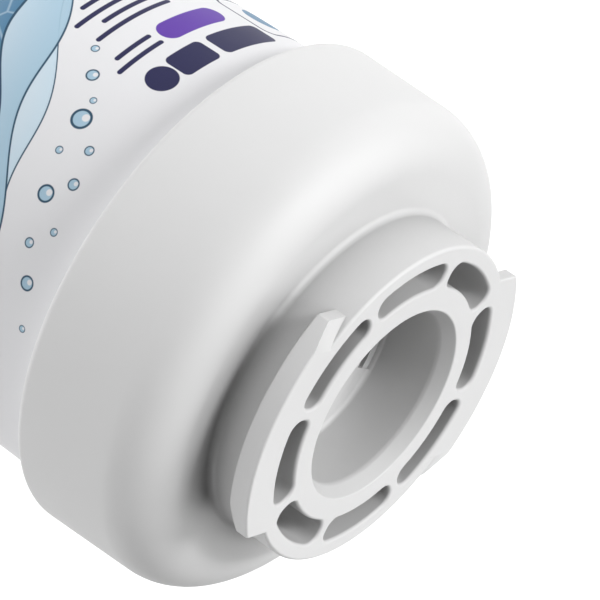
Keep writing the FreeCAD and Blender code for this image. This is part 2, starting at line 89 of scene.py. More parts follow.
# %% [markdown]
# ## A few modelling moves
# Most of this object is turned, like a pot on a wheel: a section is drawn as a chain of edges,
# its corners are rounded with a vertex bevel, and Spin carries it round the axis.
# Everything else is cut or added with shapes modelled the same way. These moves come back for
# each piece, so they get a name once. Nothing else may be selected while they work.


# %% Drawing a chain of edges
def start(name, add_primitive, **settings):
    """Add a primitive with nothing else selected, and open it for editing."""
    if bpy.context.object and bpy.context.object.mode != "OBJECT":
        bpy.ops.object.mode_set(mode="OBJECT")
    bpy.ops.object.select_all(action="DESELECT")
    add_primitive(**settings)
    piece = bpy.context.object
    piece.name = piece.data.name = name
    bpy.ops.object.mode_set(mode="EDIT")
    return piece


def pick(wanted):
    """Select the vertices that a test on their place in millimetres picks."""
    bpy.ops.mesh.select_all(action="DESELECT")
    mesh = bmesh.from_edit_mesh(bpy.context.object.data)
    for vertex in mesh.verts:
        vertex.select_set(bool(wanted(vertex.co / MM)))
    mesh.select_flush(True)
    bmesh.update_edit_mesh(bpy.context.object.data)


def last_point():
    """The selected vertex that a chain has reached."""
    mesh = bmesh.from_edit_mesh(bpy.context.object.data)
    return next(vertex.co.copy() for vertex in mesh.verts if vertex.select)


def line_to(corner):
    """Carry a chain on to a corner by extruding its last vertex."""
    move = {"value": Vector(corner) * MM - last_point()}
    bpy.ops.mesh.extrude_vertices_move(TRANSFORM_OT_translate=move)


def draw(name, corners):
    """Draw a chain of edges: a plane merged to one vertex, then extruded from corner to corner."""
    piece = start(name, bpy.ops.mesh.primitive_plane_add, size=MM)
    bpy.ops.mesh.merge(type="CENTER")
    bpy.ops.transform.translate(value=Vector(corners[0]) * MM)
    for corner in corners[1:]:
        line_to(corner)
    return piece


print("drawing moves ready")

# %% Rounding and spinning a section
# TINY is in metres and merges doubles, NEAR is in millimetres and finds a drawn corner again.
TINY = 1e-6
NEAR = 0.01
ROUND_STEPS = 192
AXIS = {"center": (0, 0, 0), "axis": (0, 0, -1)}


def close_chain(first, last):
    """Join the two ends of a chain with an edge."""
    ends = (Vector(first), Vector(last))
    pick(lambda place: any((place - end).length < NEAR for end in ends))
    bpy.ops.mesh.edge_face_add()


def round_corner(corner, radius, segments):
    """Round one corner of a section with a vertex bevel that runs out where the arc is tangent."""
    pick(lambda place: (place - Vector(corner)).length < NEAR)
    mesh = bmesh.from_edit_mesh(bpy.context.object.data)
    vertex = next(vertex for vertex in mesh.verts if vertex.select)
    arms = [edge.other_vert(vertex).co - vertex.co for edge in vertex.link_edges]
    reach = radius / math.tan(arms[0].angle(arms[1]) / 2)
    bpy.ops.mesh.bevel(offset=reach * MM, segments=segments, affect="VERTICES")


def spin(steps, degrees=360, copies=False):
    """Spin what is drawn anticlockwise about the axis, close it and turn its faces outwards."""
    bpy.ops.mesh.select_all(action="SELECT")
    bpy.ops.mesh.spin(steps=steps, angle=math.radians(degrees), dupli=copies, **AXIS)
    bpy.ops.mesh.select_all(action="SELECT")
    bpy.ops.mesh.remove_doubles(threshold=TINY)
    bpy.ops.mesh.normals_make_consistent(inside=False)


def turn_section(name, section, closed):
    """Draw a section of radius, height, corner radius and segments, round its corners and spin it."""
    corners = [(radius, 0, height) for radius, height, _, _ in section]
    piece = draw(name, corners)
    if closed:
        close_chain(corners[0], corners[-1])
    for corner, (_, _, fillet, segments) in zip(corners, section):
        if fillet:
            round_corner(corner, fillet, segments)
    spin(ROUND_STEPS)
    print(name, "turned from", len(section), "corners in", ROUND_STEPS, "steps")
    return piece


print("turning moves ready")

# %% [markdown]
# ## The head: turned blank
# On the real cartridge the whole connector end is one injection moulding: a collar that slips over
# the cup, a soft shoulder, the neck, and the bore that the nozzle pushes into. All of it shares one
# axis, so its full section is drawn once, corner by corner, and spun. The corners get the radii
# that the mould has: large on the shoulder, small on the rims, and eased even where it looks sharp.

# %% Turned blank of the head
FACE, SHOULDER, COLLAR_RIM, SEAT = 137.0, 127.6, 104.0, 119.0
CUP_SLOPE, COLLAR_SLOPE = (math.tan(math.radians(draft)) for draft in (0.9, 1.1))
FOOT_RADIUS, WALL, COLLAR_WALL, WELD_GAP = 34.0, 3.0, 3.75, 0.1
NECK_RADIUS = 25.4
BORE_RADIUS, BORE_FLOOR = 14.05, 125.6
LEAD_IN_WIDTH, LEAD_IN_DEPTH = 1.2, 2.1
OUTLET_RADIUS, OUTLET_CHAMFER = 5.5, 0.8
SOCKET_RADIUS, SOCKET_OUTSIDE, SOCKET_END = 7.5, 9.7, 112.0
CEILING, RECESS_RADIUS, RECESS_CEILING = 123.0, 18.6, 124.5


def cup_radius(height):
    """Outside radius of the tapered cup at a height."""
    return FOOT_RADIUS + CUP_SLOPE * height


collar_rim_radius = cup_radius(COLLAR_RIM) + WELD_GAP + COLLAR_WALL
collar_top_radius = collar_rim_radius - COLLAR_SLOPE * (SHOULDER - COLLAR_RIM)
mouth_inside = cup_radius(SEAT) - WALL
head_section = [
    # radius, height, corner radius, segments
    (cup_radius(COLLAR_RIM) + WELD_GAP, COLLAR_RIM, 0.3, 3),
    (collar_rim_radius, COLLAR_RIM, 1.2, 6),
    (collar_top_radius, SHOULDER, 7.9, 18),
    (NECK_RADIUS, SHOULDER, 1.0, 6),
    (NECK_RADIUS, FACE, 0.5, 5),
    (BORE_RADIUS + LEAD_IN_WIDTH, FACE, 0.3, 4),
    (BORE_RADIUS, FACE - LEAD_IN_DEPTH, 1.6, 5),
    (BORE_RADIUS, BORE_FLOOR, 0.8, 6),
    (OUTLET_RADIUS + OUTLET_CHAMFER, BORE_FLOOR, 0.2, 2),
    (OUTLET_RADIUS, BORE_FLOOR - OUTLET_CHAMFER, 0.2, 2),
    (OUTLET_RADIUS, CEILING, 0, 0),
    (SOCKET_RADIUS, CEILING, 0, 0),
    (SOCKET_RADIUS, SOCKET_END, 0.3, 2),
    (SOCKET_OUTSIDE, SOCKET_END, 0.3, 2),
    (SOCKET_OUTSIDE, CEILING, 0.5, 3),
    (RECESS_RADIUS, CEILING, 0.5, 3),
    (RECESS_RADIUS, RECESS_CEILING, 0.5, 3),
    (mouth_inside, RECESS_CEILING, 4.0, 8),
    (mouth_inside, SEAT, 0, 0),
    (cup_radius(SEAT) + WELD_GAP, SEAT, 0, 0),
]
head = turn_section("head_moulding", head_section, closed=True)

# %% [markdown]
# ## The locking lugs
# Two lugs stand out from the neck and lock the cartridge with a quarter turn. Their ends are
# parallel, one end has a ramp on the face, and the other has a lead-in underneath, so the turn can
# only go one way. The lug's outline is drawn from above with lines and arcs. Extruding it and then
# stepping the end face inwards leaves a rounded rim, and two bisects slice off the ramp and the
# lead-in. The inner side is buried in the neck, so the union of the two has no seam.

# %% Outlines with arcs
AXIS_POINT = (0, 0, 0)


def on_circle(radius, degrees, height):
    """A point at a radius, an angle and a height about the cartridge's axis."""
    angle = math.radians(degrees)
    return Vector((radius * math.cos(angle), radius * math.sin(angle), height))


def arc(center, degrees, steps):
    """Carry a chain on along an arc, anticlockwise from above, by spinning its last vertex."""
    bpy.ops.mesh.spin(steps=steps, angle=math.radians(degrees), center=Vector(center) * MM,
                      axis=AXIS["axis"])


def fill_chain():
    """Close a chain and fill it with one flat face."""
    bpy.ops.mesh.select_all(action="SELECT")
    bpy.ops.mesh.remove_doubles(threshold=TINY)
    bpy.ops.mesh.edge_face_add()


def face_along_axis(direction):
    """Turn the one flat outline so that it faces up or down the axis."""
    bpy.ops.mesh.select_all(action="SELECT")
    outline = bmesh.from_edit_mesh(bpy.context.object.data).faces[:]
    if sum(face.normal.z for face in outline) * direction < 0:
        bpy.ops.mesh.flip_normals()


print("outline moves ready")


# %% Pushing, stepping and slicing
def push(distance):
    """Extrude the selected face up or down the axis."""
    bpy.ops.mesh.extrude_region_move(TRANSFORM_OT_translate={"value": (0, 0, distance * MM)})


def quarter_round(radius, steps, steep_first):
    """Inset and depth of each step along a quarter circle."""
    places = []
    for step in range(steps + 1):
        angle = math.pi / 2 * step / steps
        place = (radius * math.sin(angle), radius * (1 - math.cos(angle)))
        places.append(place[::-1] if steep_first else place)
    return [(after[0] - before[0], after[1] - before[1]) for before, after in zip(places, places[1:])]


def step_in(steps):
    """Inset the selected face step by step, and push it along its normal each time."""
    for across, along in steps:
        bpy.ops.mesh.inset(thickness=across * MM, depth=along * MM)


def slice_off(point, direction):
    """Cut away all that lies beyond a plane, and close the cut."""
    bpy.ops.mesh.select_all(action="SELECT")
    bpy.ops.mesh.bisect(plane_co=Vector(point) * MM, plane_no=Vector(direction).normalized(),
                        use_fill=True, clear_outer=True, threshold=TINY)


print("solid moves ready")


# %% Joining and cutting
def combine(piece, tool, operation):
    """Join a tool to a piece or cut it out with a Boolean modifier, and throw the tool away."""
    bpy.ops.object.mode_set(mode="OBJECT")
    bpy.ops.object.select_all(action="DESELECT")
    bpy.context.view_layer.objects.active = piece
    piece.select_set(True)
    modifier = piece.modifiers.new("combine", "BOOLEAN")
    modifier.object = tool
    modifier.operation = operation
    modifier.solver = "EXACT"
    bpy.ops.object.modifier_apply(modifier=modifier.name)
    bpy.data.meshes.remove(tool.data)


print("joining and cutting ready")

# %% Lugs
LUG_RADIUS, LUG_UNDERSIDE = 28.55, 133.7
LUG_HALF_WIDTH, LUG_BURIED, LUG_CORNER = 17.15, 17.5, 0.5
RAMP_LENGTH, RAMP_DROP = 4.3, 1.25
LEAD_LENGTH, LEAD_RISE = 5.4, 1.3
EDGE_EASE, EASE_STEPS, LUG_STEPS = 0.3, 4, 40

lug_middle = (LUG_UNDERSIDE + FACE) / 2
corner_y = LUG_HALF_WIDTH - LUG_CORNER
corner_turn = math.degrees(math.asin(corner_y / (LUG_RADIUS - LUG_CORNER)))
corner_x = on_circle(LUG_RADIUS - LUG_CORNER, corner_turn, 0).x
lugs = draw("lugs", [(LUG_BURIED, -LUG_HALF_WIDTH, lug_middle), (corner_x, -LUG_HALF_WIDTH, lug_middle)])
arc((corner_x, -corner_y, 0), 90 - corner_turn, EASE_STEPS)
arc(AXIS_POINT, 2 * corner_turn, LUG_STEPS)
arc((corner_x, corner_y, 0), 90 - corner_turn, EASE_STEPS)
line_to((LUG_BURIED, LUG_HALF_WIDTH, lug_middle))
fill_chain()
face_along_axis(-1)
push(LUG_UNDERSIDE + EDGE_EASE - lug_middle)
step_in(quarter_round(EDGE_EASE, EASE_STEPS, steep_first=True))
pick(lambda place: abs(place.z - lug_middle) < NEAR)
push(FACE - EDGE_EASE - lug_middle)
step_in(quarter_round(EDGE_EASE, EASE_STEPS, steep_first=True))
slice_off((0, RAMP_LENGTH - LUG_HALF_WIDTH, FACE), (0, -RAMP_DROP, RAMP_LENGTH))
slice_off((0, LUG_HALF_WIDTH - LEAD_LENGTH, LUG_UNDERSIDE), (0, LEAD_RISE, -LEAD_LENGTH))
spin(1, 180, copies=True)
combine(head, lugs, "UNION")
print("two lugs joined,", LUG_RADIUS * 2, "mm across")

# %% [markdown]
# ## The ring of pockets
# Thick plastic sinks as it cools, so the moulder cores out the ring round the bore and leaves thin
# ribs. One core is modelled with the rounded lip of the pocket already on it: the outline is drawn
# a little too large, and each inset steps it in and down along a quarter circle. Eight copies of
# that core then cut all the pockets at once.

# %% Pockets
POCKET_INSIDE, POCKET_OUTSIDE, POCKET_FLOOR = 18.85, 22.8, 127.5
POCKETS, POCKET_TURN = 8, 15.9
POCKET_PITCH = 360 / POCKETS
POCKET_CORNER, RIB_HALF, LIP = 1.75, 0.95, 0.5
OUTER_STEPS, INNER_STEPS, CORNER_STEPS = 24, 20, 7
CLEAR = 1.0

lip_inside, lip_outside = POCKET_INSIDE - LIP, POCKET_OUTSIDE + LIP
lip_corner = POCKET_CORNER + LIP
from_rib = RIB_HALF - LIP + lip_corner
first_rib = POCKET_TURN - POCKET_PITCH / 2
last_rib = POCKET_TURN + POCKET_PITCH / 2
outer_turn = math.degrees(math.asin(from_rib / (lip_outside - lip_corner)))
inner_turn = math.degrees(math.asin(from_rib / (lip_inside + lip_corner)))
above = FACE + CLEAR
outer_corners = [on_circle(lip_outside - lip_corner, turn, above)
                 for turn in (first_rib + outer_turn, last_rib - outer_turn)]
inner_corners = [on_circle(lip_inside + lip_corner, turn, above)
                 for turn in (first_rib + inner_turn, last_rib - inner_turn)]
pockets = draw("pockets", [on_circle(lip_outside, first_rib + outer_turn, above)])
arc(AXIS_POINT, POCKET_PITCH - 2 * outer_turn, OUTER_STEPS)
arc(outer_corners[1], 90 + outer_turn, CORNER_STEPS)
line_to(inner_corners[1] + on_circle(lip_corner, last_rib + 90, 0))
arc(inner_corners[1], 90 - inner_turn, CORNER_STEPS)
arc(AXIS_POINT, 2 * inner_turn - POCKET_PITCH, INNER_STEPS)
arc(inner_corners[0], 90 - inner_turn, CORNER_STEPS)
line_to(outer_corners[0] + on_circle(lip_corner, first_rib - 90, 0))
arc(outer_corners[0], 90 + outer_turn, CORNER_STEPS)
fill_chain()
face_along_axis(-1)
push(-CLEAR)
step_in(quarter_round(LIP, EASE_STEPS, steep_first=False))
push(POCKET_FLOOR + LIP - (FACE - LIP))
step_in(quarter_round(LIP, EASE_STEPS, steep_first=True))
spin(POCKETS - 1, POCKET_PITCH * (POCKETS - 1), copies=True)
combine(head, pockets, "DIFFERENCE")
print(POCKETS, "pockets cut,", FACE - POCKET_FLOOR, "mm deep")

# %% [markdown]
# ## The inlet windows
# Water enters the cartridge through four curved windows in the floor of the bore. Each has a flat
# land beside it where the mould's core pin met the floor, so two cutters are spun for each:
# a wide one that stops at the land, and a narrow one that goes right through. The head is then
# complete, and gets a smooth skin that keeps its real edges crisp.

# %% Windows
WINDOWS, WINDOW_ARC, WINDOW_TURN, WINDOW_STEPS = 4, 40.0, 5.5, 24
WINDOW_INSIDE, WINDOW_OUTSIDE, LAND_OUTSIDE = 10.7, 12.45, 13.9
LAND_HEIGHT, LAND_CLEAR = 125.4, 2.5
BELOW_CEILING, WINDOW_CLEAR = 1.0, 0.5

begin = WINDOW_TURN - WINDOW_ARC / 2
for name, outside, low, high in (
    ("lands", LAND_OUTSIDE, LAND_HEIGHT, LAND_HEIGHT + LAND_CLEAR),
    ("windows", WINDOW_OUTSIDE, CEILING - BELOW_CEILING, LAND_HEIGHT + WINDOW_CLEAR),
):
    cutter = draw(name, [
        on_circle(WINDOW_INSIDE, begin, low),
        on_circle(outside, begin, low),
        on_circle(outside, begin, high),
        on_circle(WINDOW_INSIDE, begin, high),
    ])
    fill_chain()
    spin(WINDOW_STEPS, WINDOW_ARC)
    spin(WINDOWS - 1, 360 / WINDOWS * (WINDOWS - 1), copies=True)
    combine(head, cutter, "DIFFERENCE")
    print(WINDOWS, name, "cut")


# %% Skin of the head
def smooth(piece, degrees=38):
    """Shade a piece smooth up to an angle, with the large faces keeping their own direction."""
    bpy.ops.object.mode_set(mode="OBJECT")
    bpy.ops.object.select_all(action="DESELECT")
    bpy.context.view_layer.objects.active = piece
    piece.select_set(True)
    bpy.ops.object.shade_smooth_by_angle(angle=math.radians(degrees))
    modifier = piece.modifiers.new("weighted", "WEIGHTED_NORMAL")
    modifier.keep_sharp = True
    bpy.ops.object.modifier_apply(modifier=modifier.name)
    triangles = sum(len(face.vertices) - 2 for face in piece.data.polygons)
    print(piece.name, "has", triangles, "triangles")


smooth(head)

# %% [markdown]
# ## The cup
# The body under the film is a plain tapered cup with a rounded foot. Its section starts and ends on
# the axis, so Spin closes it at two poles. A hand turns the cartridge by the bar across its foot:
# two D-shaped wells leave that bar standing, and the bar is cored out from inside like the ribs.

# %% Cup
CUP_FLOOR = 23.0

cup_section = [
    # radius, height, corner radius, segments
    (0.0, CUP_FLOOR, 0, 0),
    (cup_radius(CUP_FLOOR) - WALL, CUP_FLOOR, 2.0, 5),
    (mouth_inside, SEAT, 0.4, 3),
    (cup_radius(SEAT), SEAT, 0.4, 3),
    (FOOT_RADIUS, 0.0, 2.0, 8),
    (0.0, 0.0, 0, 0),
]
cup = turn_section("cup_moulding", cup_section, closed=False)

# %% Core of the grip bar
WELL_RADIUS = 31.0
BAR_CORE_HALF, BAR_CORE_FLOOR, BAR_CORE_EDGE = 4.0, 3.0, 0.6

core_length = math.sqrt(WELL_RADIUS ** 2 - BAR_CORE_HALF ** 2)
core = start("bar_core", bpy.ops.mesh.primitive_cube_add, size=MM,
             location=(0, 0, (CUP_FLOOR + CLEAR + BAR_CORE_FLOOR) / 2 * MM))
bpy.ops.transform.resize(value=(2 * BAR_CORE_HALF, 2 * core_length, CUP_FLOOR + CLEAR - BAR_CORE_FLOOR))
bpy.ops.mesh.bevel(offset=BAR_CORE_EDGE * MM, segments=3, affect="EDGES")
combine(cup, core, "DIFFERENCE")
print("grip bar cored out over", round(2 * core_length, 1), "mm")

# %% Finger wells
WELL_DEPTH, WELL_CORNER, WELL_ROOF, WELL_MOUTH = 20.0, 6.0, 3.0, 1.2
WELL_STEPS, WELL_CORNER_STEPS, ROOF_STEPS, MOUTH_STEPS = 64, 14, 8, 6
BAR_HALF = 7.0

chord = BAR_HALF - WELL_MOUTH
mouth_radius = WELL_RADIUS + WELL_MOUTH
mouth_corner = WELL_CORNER + WELL_MOUTH
corner_x = chord + mouth_corner
corner_y = math.sqrt((mouth_radius - mouth_corner) ** 2 - corner_x ** 2)
corner_turn = math.degrees(math.atan2(corner_y, corner_x))
wells = draw("wells", [on_circle(mouth_radius, -corner_turn, -CLEAR)])
arc(AXIS_POINT, 2 * corner_turn, WELL_STEPS)
arc((corner_x, corner_y, 0), 180 - corner_turn, WELL_CORNER_STEPS)
line_to((chord, -corner_y, -CLEAR))
arc((corner_x, -corner_y, 0), 180 - corner_turn, WELL_CORNER_STEPS)
fill_chain()
face_along_axis(1)
push(CLEAR)
step_in(quarter_round(WELL_MOUTH, MOUTH_STEPS, steep_first=False))
push(WELL_DEPTH - WELL_MOUTH - WELL_ROOF)
step_in(quarter_round(WELL_ROOF, ROOF_STEPS, steep_first=True))
spin(1, 180, copies=True)
combine(cup, wells, "DIFFERENCE")
smooth(cup)

# %% [markdown]
# ## The printed film
# The film is one strip that goes round the cup and laps over its own start at the back. So one
# upright edge is spun, lifted by a film's thickness where it reaches its start, and spun a little
# further. Solidify then gives the strip its thickness, outwards, so it stays clear of the cup.

# %% Film
FILM_LOW, FILM_HIGH = 5.0, 103.0
FILM_GAP, FILM_THICKNESS, LAP_GAP = 0.1, 0.12, 0.02
FILM_STEP, FILM_START = 1.5, 150.0
LIFT_STEPS, LAP_STEPS = 4, 8

film = draw("printed_film", [
    on_circle(cup_radius(height) + FILM_GAP, FILM_START, height) for height in (FILM_LOW, FILM_HIGH)
])
round_turns = round(360 / FILM_STEP) - LIFT_STEPS
bpy.ops.mesh.select_all(action="SELECT")
bpy.ops.mesh.spin(steps=round_turns, angle=math.radians(round_turns * FILM_STEP), **AXIS)
lift = 1 + (FILM_THICKNESS + LAP_GAP) / LIFT_STEPS / cup_radius(FILM_LOW)
for _ in range(LIFT_STEPS):
    bpy.ops.mesh.spin(steps=1, angle=math.radians(FILM_STEP), **AXIS)
    bpy.ops.transform.resize(value=(lift, lift, 1), center_override=AXIS_POINT)
bpy.ops.mesh.spin(steps=LAP_STEPS, angle=math.radians(LAP_STEPS * FILM_STEP), **AXIS)
bpy.ops.mesh.select_all(action="SELECT")
bpy.ops.mesh.normals_make_consistent(inside=False)
bpy.ops.object.mode_set(mode="OBJECT")
modifier = film.modifiers.new("thickness", "SOLIDIFY")
modifier.thickness = FILM_THICKNESS * MM
modifier.offset = 1
bpy.ops.object.modifier_apply(modifier=modifier.name)
smooth(film, degrees=30)

# %% [markdown]
# ## Satin white polypropylene
# The head and the cup are injection-moulded polypropylene. Its colour is even, and the mould's
# fine-blasted walls leave a satin skin: soft highlights with a hint of grain. A Principled shader
# with the plastic's own IOR does most of it. One fine noise is the grain, and one slow noise stands
# for the small changes of tone and gloss where the plastic flowed and cooled. White walls throw so
# much light at each other that deep recesses look flat, so an Ambient Occlusion node paints shade
# into the plastic's colour there. The painted shade is weaker inside the neck, where the lamps shine
# straight into the bore and the pockets.


# %% Colours, nodes and materials
def linear(hex_colour):
    """Turn an sRGB hex colour into the linear colour that shaders work with."""
    levels = [int(hex_colour[place:place + 2], 16) / 255 for place in (1, 3, 5)]
    return [level / 12.92 if level <= 0.04045 else ((level + 0.055) / 1.055) ** 2.4
            for level in levels] + [1]


def add(tree, kind, inputs=None, **settings):
    """Add a node with its settings, and set each of its inputs or link another node's output to it."""
    made = tree.nodes.new("ShaderNode" + kind)
    for name, value in settings.items():
        setattr(made, name, value)
    for name, value in (inputs or {}).items():
        if isinstance(value, bpy.types.NodeSocket):
            tree.links.new(value, made.inputs[name])
        else:
            made.inputs[name].default_value = value
    return made


def new_material(name, **shader_values):
    """A material with its node tree and its shader, whose own sockets hold what is the same all over."""
    material = bpy.data.materials.new(name)
    material.use_nodes = True
    shader = material.node_tree.nodes["Principled BSDF"]
    for socket, value in shader_values.items():
        shader.inputs[socket.replace("_", " ")].default_value = value
    return material, material.node_tree, shader


print("material moves ready")

# %% Moulded plastic
# How strongly painted shade darkens the plastic's colour in recesses: in the bore and pockets, and outside
# the neck.
CORE_SHADE, NECK_SHADE = 0.28, 0.56
# Nearly all of a noise lies between these two values.
NOISE_LOW, NOISE_HIGH = 0.3, 0.7


def moulded(name, light, dark, gloss, ior, grain, relief, flow, painted_shade_reach=0):
    """A moulded skin: grain in the normal, slow changes of tone and gloss, and painted shade in recesses
    when a reach is given. Sizes are in millimetres.
    """
    material, tree, shader = new_material(name, IOR=ior)
    place = add(tree, "TexCoord").outputs["Object"]
    fine = add(tree, "TexNoise", {"Vector": place, "Scale": 1 / (grain * MM), "Detail": 2.0}).outputs["Fac"]
    slow = add(tree, "TexNoise", {"Vector": place, "Scale": 1 / (flow * MM), "Detail": 2.0}).outputs["Fac"]
    tone = add(tree, "Mix", {"Factor": slow, "A": linear(dark), "B": linear(light)},
               data_type="RGBA").outputs["Result"]
    if painted_shade_reach:
        # Painted shade: the Ambient Occlusion node darkens the plastic's colour in recesses, less in the
        # bore and pockets than outside the neck.
        deep = add(tree, "AmbientOcclusion", {"Color": tone, "Distance": painted_shade_reach * MM},
                   only_local=True, samples=12).outputs["Color"]
        flat = add(tree, "VectorMath", {0: place, 1: (1, 1, 0)}, operation="MULTIPLY").outputs["Vector"]
        from_axis = add(tree, "VectorMath", {0: flat}, operation="LENGTH").outputs["Value"]
        shade = add(tree, "MapRange", {"Value": from_axis, "From Min": POCKET_OUTSIDE * MM,
                                       "From Max": NECK_RADIUS * MM, "To Min": CORE_SHADE,
                                       "To Max": NECK_SHADE}).outputs["Result"]
        tone = add(tree, "Mix", {"Factor": shade, "A": tone, "B": deep}, data_type="RGBA").outputs["Result"]
    rough = add(tree, "MapRange", {"Value": slow, "From Min": NOISE_LOW, "From Max": NOISE_HIGH,
                                   "To Min": gloss[0], "To Max": gloss[1]}).outputs["Result"]
    bump = add(tree, "Bump", {"Height": fine, "Strength": 1.0, "Distance": relief * MM}).outputs["Normal"]
    for socket, value in (("Base Color", tone), ("Roughness", rough), ("Normal", bump)):
        tree.links.new(value, shader.inputs[socket])
    return material


# The real grain is about 0.05 mm. It is drawn coarser, so that a render can show it at all.
# Shade is painted into the housing's colour in recesses, with a reach of 30 mm.
housing = moulded("satin moulded polypropylene", "#dadada", "#d6d6d6", gloss=(0.48, 0.58), ior=1.49,
                  grain=0.6, relief=0.003, flow=14.0, painted_shade_reach=30.0)
for piece in (head, cup):
    piece.data.materials.append(housing)
print("plastic on", head.name, "and", cup.name)

# %% [markdown]
# ## The sealed pieces inside
# Nobody sees these until a cartridge is sawn open, but they are in the model, so each gets its own
# finish through the material slot of its CAD object. Three of the finishes are moulded or cast skins
# and differ only in colour, gloss and grain. Carbon and cloth need patterns of their own.


# %% Caps, adhesive and seals
def finish_nodes(material, *names):
    """Put a material in every slot of the named CAD nodes."""
    for name in names:
        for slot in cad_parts[name].material_slots:
            slot.material = material
    print(material.name, "on", ", ".join(names))


# Unpigmented polypropylene is a little yellow, and duller than the outer mouldings.
finish_nodes(moulded("natural moulded polypropylene", "#dad9d2", "#d1d0c8", gloss=(0.45, 0.60), ior=1.49,
                     grain=0.6, relief=0.004, flow=10.0), "lower_end_cap", "upper_end_cap")
# Hot melt sets with a lumpy, wet-looking skin.
finish_nodes(moulded("set hot-melt adhesive", "#d2c69f", "#c4b588", gloss=(0.22, 0.38), ior=1.48,
                     grain=3.0, relief=0.12, flow=6.0), "lower_adhesive", "upper_adhesive")
# Seal rubber is black, with a dull bloom over a smooth skin.
finish_nodes(moulded("black nitrile rubber", "#191919", "#0e0e0e", gloss=(0.48, 0.66), ior=1.52,
                     grain=0.3, relief=0.006, flow=4.0), "lower_o_ring", "upper_o_ring")

# %% Bonded carbon
CARBON_GRAIN, CARBON_RELIEF = 0.7, 0.15

# Powdered carbon is pressed and bonded: matt black grains, each with its own tone.
# Its grains are about 0.2 mm and are drawn larger, so that they show.
carbon, tree, shader = new_material("bonded activated carbon", IOR=1.6, Roughness=0.88)
place = add(tree, "TexCoord").outputs["Object"]
grains = add(tree, "TexVoronoi", {"Vector": place, "Scale": 1 / (CARBON_GRAIN * MM)}).outputs
tone = add(tree, "Mix", {"Factor": grains["Color"], "A": linear("#0b0b0c"), "B": linear("#262628")},
           data_type="RGBA").outputs["Result"]
pits = add(tree, "Bump", {"Height": grains["Distance"], "Strength": 1.0, "Distance": CARBON_RELIEF * MM},
           invert=True).outputs["Normal"]
tree.links.new(tone, shader.inputs["Base Color"])
tree.links.new(pits, shader.inputs["Normal"])
finish_nodes(carbon, "carbon_block")

# %% Non-woven cloth
FIBRE, FIBRE_STRETCH, FIBRE_LEAN, FIBRE_RELIEF = 0.35, 9.0, 35, 0.08

# Non-woven cloth is a mat of fine fibres: two noises, each stretched its own way, and the upper
# one wins. The fibres are about 0.02 mm and are drawn as strands that show.
cloth, tree, shader = new_material("spun-bonded polypropylene", IOR=1.49, Roughness=0.8)
place = add(tree, "TexCoord").outputs["Object"]
strands = []
for lean in (FIBRE_LEAN, -FIBRE_LEAN):
    along = add(tree, "Mapping", {"Vector": place, "Rotation": (math.radians(lean), 0, 0),
                                  "Scale": (1, 1, 1 / FIBRE_STRETCH)}).outputs["Vector"]
    strands.append(add(tree, "TexNoise", {"Vector": along, "Scale": 1 / (FIBRE * MM)}).outputs["Fac"])
mat = add(tree, "Math", {0: strands[0], 1: strands[1]}, operation="MAXIMUM").outputs["Value"]
tone = add(tree, "Mix", {"Factor": mat, "A": linear("#d3d3cc"), "B": linear("#f0f0ec")},
           data_type="RGBA").outputs["Result"]
relief = add(tree, "Bump", {"Height": mat, "Strength": 1.0,
                            "Distance": FIBRE_RELIEF * MM}).outputs["Normal"]
tree.links.new(tone, shader.inputs["Base Color"])
tree.links.new(relief, shader.inputs["Normal"])
finish_nodes(cloth, "core_sleeve", "prefilter_wrap")

# %% [markdown]
# ## The film and its print
# The label is a white polypropylene film, printed on a press and varnished, so it is a little
# glossier than the plastic. Its print is drawn by the shader. Two numbers place every spot: the way
# round the label, from the angle about the axis, and the height, both in millimetres.
# A bar with rounded corners is a distance to a smaller box, and it also gives discs, lines and
# frames. Waves are heights that rise and fall with the angle, in whole cycles, so they meet at
# the back. The design is plain: blocks, lines, drops and water.

# %% Places on the print
LABEL_RADIUS = 35.3
INK_EDGE = 0.06
FILM_WHITE = "#e0e0e2"
NAVY, PURPLE = "#1f1f4b", "#5c33a0"
WATER_PALE, WATER_MID, WATER_DEEP, WATER_LINE = "#c3d6e2", "#a2bfd1", "#4f7c9c", "#2b4c63"

film_gloss, tree, shader = new_material("varnished printed film", IOR=1.46, Specular_IOR_Level=0.25)
place = add(tree, "TexCoord").outputs["Object"]
axes = add(tree, "SeparateXYZ", {"Vector": place}).outputs
turn = add(tree, "Math", {0: axes["Y"], 1: axes["X"]}, operation="ARCTAN2").outputs["Value"]
around = add(tree, "Math", {0: turn, 1: LABEL_RADIUS}, operation="MULTIPLY").outputs["Value"]
height = add(tree, "Math", {0: axes["Z"], 1: MM}, operation="DIVIDE").outputs["Value"]
spot = add(tree, "CombineXYZ", {"X": around, "Y": height}).outputs["Vector"]
print("label is", round(2 * math.pi * LABEL_RADIUS), "mm round and", FILM_HIGH - FILM_LOW, "mm tall")

# %% [markdown]
# ### The water
# Three layers of water lean round the label, high on one side and low on the other. Each layer is
# a fill that fades to white with its depth, under a thin darker crest. A fine net of light, from
# the cell edges of a Voronoi texture, runs through the nearest one.

# %% Print: water
NET_CELL, NET_LINE, NET_STRENGTH = 5.0, 0.05, 0.5
WAVES = [
    # level, swing, angle of the swing, ripple, cycles, phase, ink, fade, half a crest line
    (67.5, 24.0, 6, 1.3, 8, 1.0, WATER_PALE, 16.0, 0.12),
    (64.5, 24.5, 2, 1.7, 7, 2.6, WATER_MID, 18.0, 0.16),
    (60.5, 24.0, 8, 1.5, 10, 0.4, WATER_DEEP, 28.0, 0.2),
]


